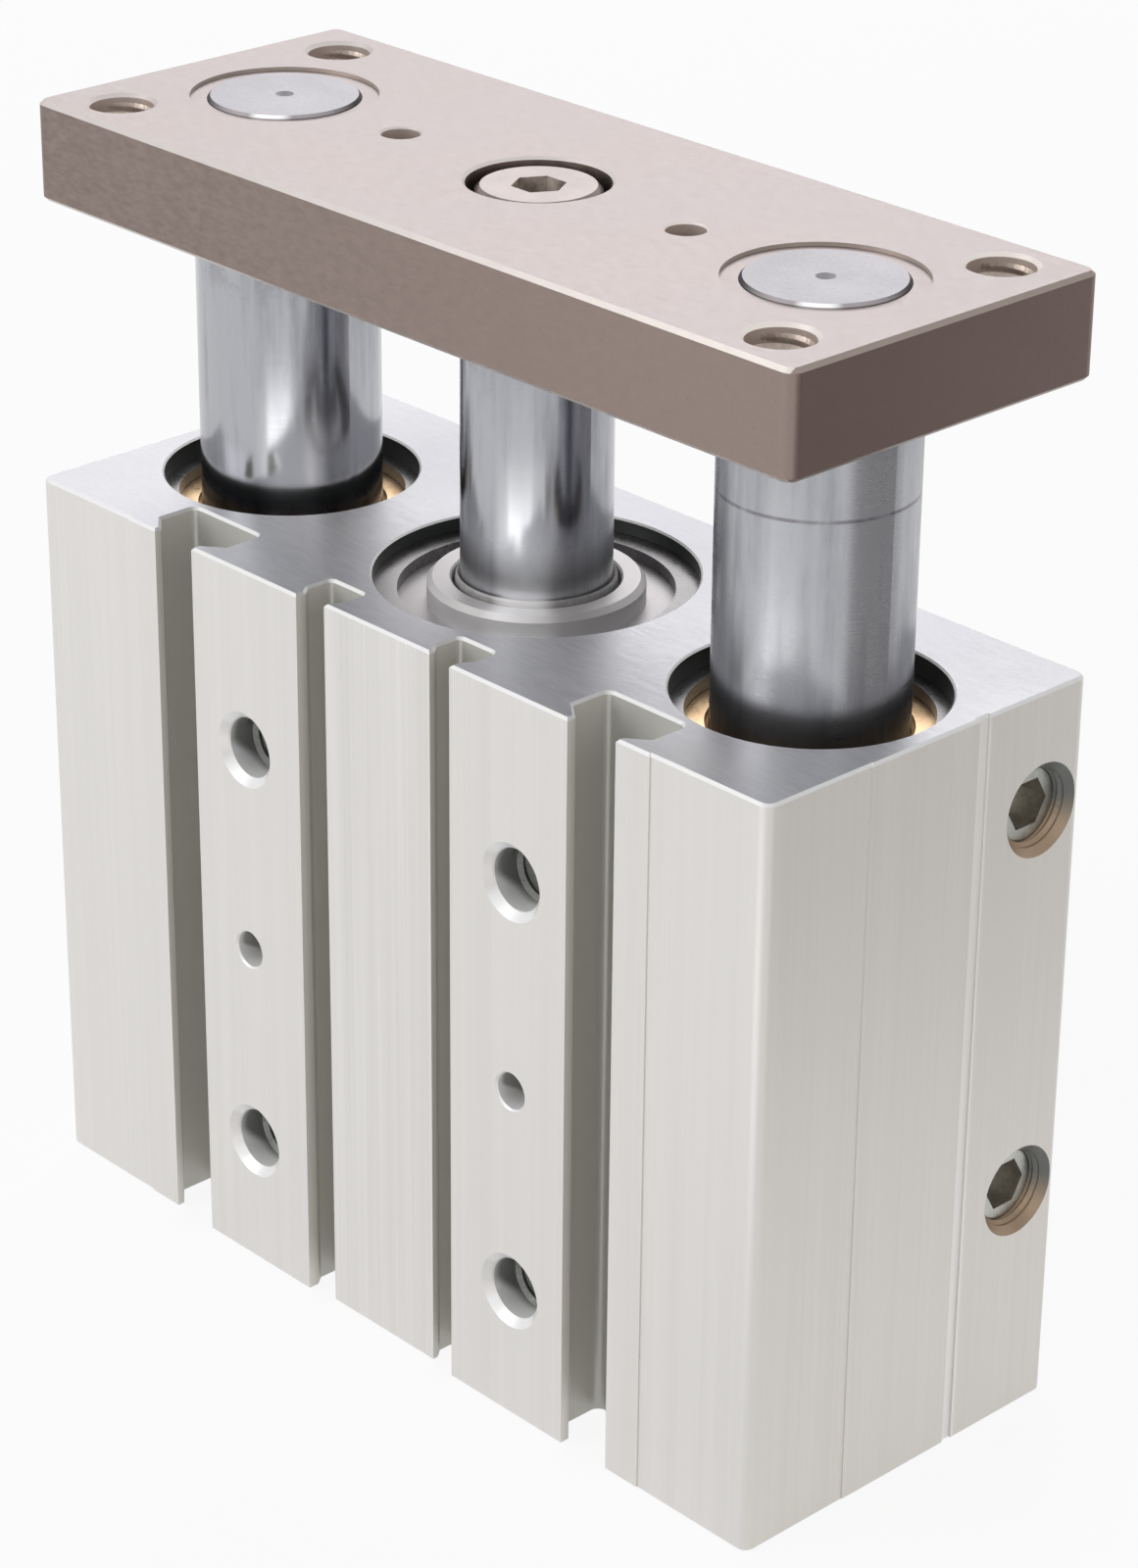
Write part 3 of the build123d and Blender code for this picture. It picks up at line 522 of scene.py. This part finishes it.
# The scraper carries a painted highlight in line with the piston rod's
scraper = soft_material(
    "rod_scraper", (0.30, 0.295, 0.29), (0.44, 0.43, 0.425), 0.3, 0.45, 1500, (0.97, 0.965, 0.96)
)
felt = soft_material("oiled_felt", (0.18, 0.14, 0.09), (0.36, 0.3, 0.22), 0.85, 1.0, 2600)
magnet = soft_material("bonded_magnet", (0.05, 0.05, 0.055), (0.12, 0.12, 0.125), 0.45, 0.65, 2000)
wear_plastic = soft_material("wear_plastic", (0.16, 0.11, 0.07), (0.28, 0.2, 0.14), 0.4, 0.6, 1200)

# The finish of a CAD node is the one with the longest of these names that its own name starts with
finish_of_prefix = {
    "body": body_metal,
    "rod_cover": turned_metal,
    "rod_cover_ring": ring_steel,
    "rod_cover_gasket": rubber,
    "rod_seal": scraper,
    "rod_bumper": bumper,
    "head_cover": turned_metal,
    "head_cover_ring": ring_steel,
    "head_cover_gasket": rubber,
    "head_bumper": bumper,
    "guide_bush": bronze,
    "guide_felt": felt,
    "guide_ring": ring_steel,
    "port_plug": plug_steel,
    "passage_plug": plug_steel,
    "tooling_plate": nickel_plate(),
    "plate_bolt": bolt_steel,
    "piston": turned_metal,
    "piston_nut": bolt_steel,
    "piston_seal": rubber,
    "magnet_ring": magnet,
    "wear_ring": wear_plastic,
    "piston_rod": chrome_rod("piston_rod_chrome", 0.12, PISTON_HIGHLIGHT, 1.0, dull_base=0.2),
    "guide_rod_left": chrome_rod("guide_rod_left_chrome", 0.12, LEFT_HIGHLIGHT, 0.9),
    "guide_rod_right": chrome_rod("guide_rod_right_chrome", 0.24, RIGHT_HIGHLIGHT, 0.3, 105.5),
}
for name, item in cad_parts.items():
    matching = [prefix for prefix in finish_of_prefix if name.startswith(prefix)]
    item.data.materials.clear()
    item.data.materials.append(finish_of_prefix[max(matching, key=len)])


# Threads: helical ridges that stand on the hole walls

# Hole radius, height of the ridge and pitch, in mm
M8_THREAD = (3.4, 0.42, 1.25)
PORT_THREAD = (4.3, 0.36, 0.907)
# Half the ridge's width at its root and at its crest, as shares of the pitch
ROOT_HALF = 0.46
CREST_HALF = 0.06
# How far the root lies under the hole's wall, and how deep a thread starts in its hole, in mm
SUNK = 0.03
MOUTH_DEPTH = 0.7
FRONT_THREAD_DEPTH = 2.8
STEPS_PER_TURN = 36


def mesh_object(name, vertices, faces):
    mesh = bpy.data.meshes.new(name)
    mesh.from_pydata(vertices, [], faces)
    made = bpy.data.objects.new(name, mesh)
    scene.collection.objects.link(made)
    return made


def thread(name, mouth, inward, size, length, body, finish):
    """A screw thread in a hole, from mouth inward for its length, in mm. Both ends fade over half a turn."""
    hole_radius, crest_height, pitch = size
    turn = Vector(inward).to_track_quat("Z", "Y").to_matrix().to_4x4()
    place = Matrix.Translation(Vector(mouth) * MM) @ turn
    root_radius = hole_radius + SUNK
    half = pitch * ROOT_HALF
    flat = pitch * CREST_HALF
    profile = (
        (root_radius, -half),
        (hole_radius - crest_height, -flat),
        (hole_radius - crest_height, flat),
        (root_radius, half),
    )
    count = len(profile)
    total = int(length / pitch * STEPS_PER_TURN)
    fade_steps = STEPS_PER_TURN / 2
    vertices = []
    faces = []
    for step in range(total + 1):
        angle = 2 * math.pi * step / STEPS_PER_TURN
        fade = min(1.0, step / fade_steps, (total - step) / fade_steps)
        rise = half + (length - 2 * half) * step / total
        for radius, offset in profile:
            faded = root_radius - (root_radius - radius) * fade
            point = Vector((faded * math.cos(angle), faded * math.sin(angle), rise + offset))
            vertices.append(place @ (point * MM))
    for step in range(total):
        for k in range(count):
            first = step * count + k
            second = step * count + (k + 1) % count
            faces.append((first, second, second + count, first + count))
    faces.append(tuple(range(count - 1, -1, -1)))
    faces.append(tuple(total * count + k for k in range(count)))
    made = mesh_object(name, vertices, faces)
    made.data.validate()
    made.data.update()
    made.data.materials.append(finish)
    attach(made, body)


SIDES = (("left", -1), ("right", 1))
DEPTHS = (("front", -1), ("back", 1))
HEIGHTS = (("low", -1), ("high", 1))

for column, side in SIDES:
    for row, depth in DEPTHS:
        place = (side * PLATE_HOLE[0], depth * PLATE_HOLE[1], PLATE_TOP - MOUTH_DEPTH)
        thread(
            "lit_plate_thread_" + column + "_" + row, place, (0, 0, -1),
            M8_THREAD, 9.6, "carriage", lit_plate_thread,
        )
for column, side in SIDES:
    for row, depth in DEPTHS:
        place = (side * BOTTOM_HOLE[0], depth * BOTTOM_HOLE[1], MOUTH_DEPTH)
        thread(
            "bottom_thread_" + column + "_" + row, place, (0, 0, 1),
            M8_THREAD, 12.0, "barrel", body_metal,
        )
for column, side in SIDES:
    for row, height in HEIGHTS:
        z = FRONT_DOWEL_Z + height * FRONT_HOLE_RISE
        place = (side * FRONT_HOLE_X, FRONT_Y + FRONT_THREAD_DEPTH, z)
        thread(
            "shaded_front_thread_" + column + "_" + row, place, (0, 1, 0),
            M8_THREAD, 14.0, "barrel", shaded_front_thread,
        )
for row, height in HEIGHTS:
    z = PORT_MIDDLE_Z + height * PORT_RISE
    thread(
        "end_port_thread_" + row, (END_X - MOUTH_DEPTH, END_PORT_Y, z), (-1, 0, 0),
        PORT_THREAD, 1.9, "barrel", body_metal,
    )
    thread(
        "back_port_thread_" + row, (BACK_PORT_X, BACK_Y - MOUTH_DEPTH, z), (0, -1, 0),
        PORT_THREAD, 6.0, "barrel", body_metal,
    )


# Floor and world

def background_ray(tree):
    """1 for rays that see the background as it is: the camera's, and those that metal or glass sends on."""
    path = tree.nodes.new("ShaderNodeLightPath")
    total = path.outputs["Is Camera Ray"]
    for name in ("Is Glossy Ray", "Is Transmission Ray"):
        larger = tree.nodes.new("ShaderNodeMath")
        larger.operation = "MAXIMUM"
        tree.links.new(total, larger.inputs[0])
        tree.links.new(path.outputs[name], larger.inputs[1])
        total = larger.outputs[0]
    return total


def plain_floor():
    """A pale floor that glows to the background's white, yet keeps a part of the object's shadow."""
    material = bpy.data.materials.new("pale_floor")
    material.use_nodes = True
    tree = material.node_tree
    tree.nodes.clear()
    output = tree.nodes.new("ShaderNodeOutputMaterial")
    diffuse = tree.nodes.new("ShaderNodeBsdfDiffuse")
    diffuse.inputs["Color"].default_value = (0.93, 0.93, 0.93, 1)
    glow = tree.nodes.new("ShaderNodeEmission")
    glow.inputs["Color"].default_value = (1, 1, 1, 1)
    glow_share = tree.nodes.new("ShaderNodeMath")
    glow_share.operation = "MULTIPLY"
    glow_share.inputs[1].default_value = 0.9
    mixer = tree.nodes.new("ShaderNodeMixShader")
    tree.links.new(background_ray(tree), glow_share.inputs[0])
    tree.links.new(glow_share.outputs[0], mixer.inputs[0])
    tree.links.new(diffuse.outputs[0], mixer.inputs[1])
    tree.links.new(glow.outputs[0], mixer.inputs[2])
    tree.links.new(mixer.outputs[0], output.inputs[0])
    return material


FLOOR_HALF = 3.0
FLOOR_Z = -0.0002
corners = ((-1, -1), (1, -1), (1, 1), (-1, 1))
floor_points = [(FLOOR_HALF * x, FLOOR_HALF * y, FLOOR_Z) for x, y in corners]
floor = mesh_object("floor", floor_points, [(0, 1, 2, 3)])
floor.data.materials.append(plain_floor())


def background(tree, colour, strength):
    made = tree.nodes.new("ShaderNodeBackground")
    made.inputs["Color"].default_value = (*colour, 1)
    made.inputs["Strength"].default_value = strength
    return made.outputs[0]


world = bpy.data.worlds.new("studio")
scene.world = world
world.use_nodes = True
world_tree = world.node_tree
world_tree.nodes.clear()
world_output = world_tree.nodes.new("ShaderNodeOutputWorld")
world_mixer = world_tree.nodes.new("ShaderNodeMixShader")
world_tree.links.new(background_ray(world_tree), world_mixer.inputs[0])
world_tree.links.new(background(world_tree, (0.93, 0.96, 1.0), 0.32), world_mixer.inputs[1])
world_tree.links.new(background(world_tree, (1, 1, 1), 1.0), world_mixer.inputs[2])
world_tree.links.new(world_mixer.outputs[0], world_output.inputs[0])


# Lights

def softbox(name, place, target, width, height, power, colour):
    light = bpy.data.lights.new(name, "AREA")
    light.shape = "RECTANGLE"
    light.size = width
    light.size_y = height
    light.energy = power
    light.color = colour
    made = bpy.data.objects.new(name, light)
    made.location = place
    made.rotation_euler = (Vector(target) - Vector(place)).to_track_quat("-Z", "Y").to_euler()
    made.visible_camera = False
    scene.collection.objects.link(made)
    return made


def dark_card(name, low_corner, high_corner):
    """A dark card beside the object, seen only by polished metal as the dark band down each rod."""
    x0, y0, z0 = low_corner
    x1, y1, z1 = high_corner
    made = mesh_object(name, [(x0, y0, z0), (x1, y1, z0), (x1, y1, z1), (x0, y0, z1)], [(0, 1, 2, 3)])
    material = bpy.data.materials.new(name)
    material.use_nodes = True
    shader = material.node_tree.nodes["Principled BSDF"]
    shader.inputs["Base Color"].default_value = (0.5, 0.49, 0.49, 1)
    shader.inputs["Roughness"].default_value = 0.9
    made.data.materials.append(material)
    made.visible_camera = False
    made.visible_diffuse = False
    made.visible_shadow = False


dark_card("right_card", (0.15, -0.02, 0.0), (0.13, 0.11, 0.16))

MIDDLE = (0, 0, 0.06)
ROD_BASES = (0, 0, 0.07)
softbox("front_left_box", (-0.35, -0.75, 0.45), MIDDLE, 0.6, 0.5, 3.5, (1.0, 0.985, 0.965))
softbox("top_back_box", (-0.55, 0.55, 0.62), MIDDLE, 0.6, 0.5, 2.6, (1.0, 0.975, 0.985))
softbox("right_fill", (0.9, -0.1, 0.35), MIDDLE, 0.5, 0.5, 1.4, (1.0, 0.96, 0.92))
near_strip = softbox(
    "near_strip", (0.045, -0.11, 0.024), ROD_BASES, 0.08, 0.045, 0.010, (1.0, 0.99, 0.98)
)
near_strip.visible_diffuse = False


# Camera, set from points measured on the photograph: places in mm, lengths in its pixels

CAMERA_PLACE = (304.24, -282.53, 258.59)
CAMERA_RIGHT = (0.68284, 0.73053, 0.00802)
CAMERA_DOWN = (0.31878, -0.28805, -0.90300)
FOCAL_PIXELS = 4398.1
CENTRE_PIXEL = (574.3, 785.0)
IMAGE_WIDTH = 1161
IMAGE_HEIGHT = 1600
SENSOR_WIDTH = 36.0

camera_data = bpy.data.cameras.new("camera")
camera_data.sensor_width = SENSOR_WIDTH
camera_data.lens = FOCAL_PIXELS * SENSOR_WIDTH / IMAGE_HEIGHT
camera_data.shift_x = (IMAGE_WIDTH / 2 - CENTRE_PIXEL[0]) / IMAGE_HEIGHT
camera_data.shift_y = (CENTRE_PIXEL[1] - IMAGE_HEIGHT / 2) / IMAGE_HEIGHT
camera_data.clip_start = 0.01
camera = bpy.data.objects.new("camera", camera_data)
right = Vector(CAMERA_RIGHT).normalized()
up = -Vector(CAMERA_DOWN)
up = (up - right * up.dot(right)).normalized()
back = right.cross(up)
pose = Matrix((right, up, back)).transposed().to_4x4()
pose.translation = Vector(CAMERA_PLACE) * MM
camera.matrix_world = pose
scene.collection.objects.link(camera)
scene.camera = camera
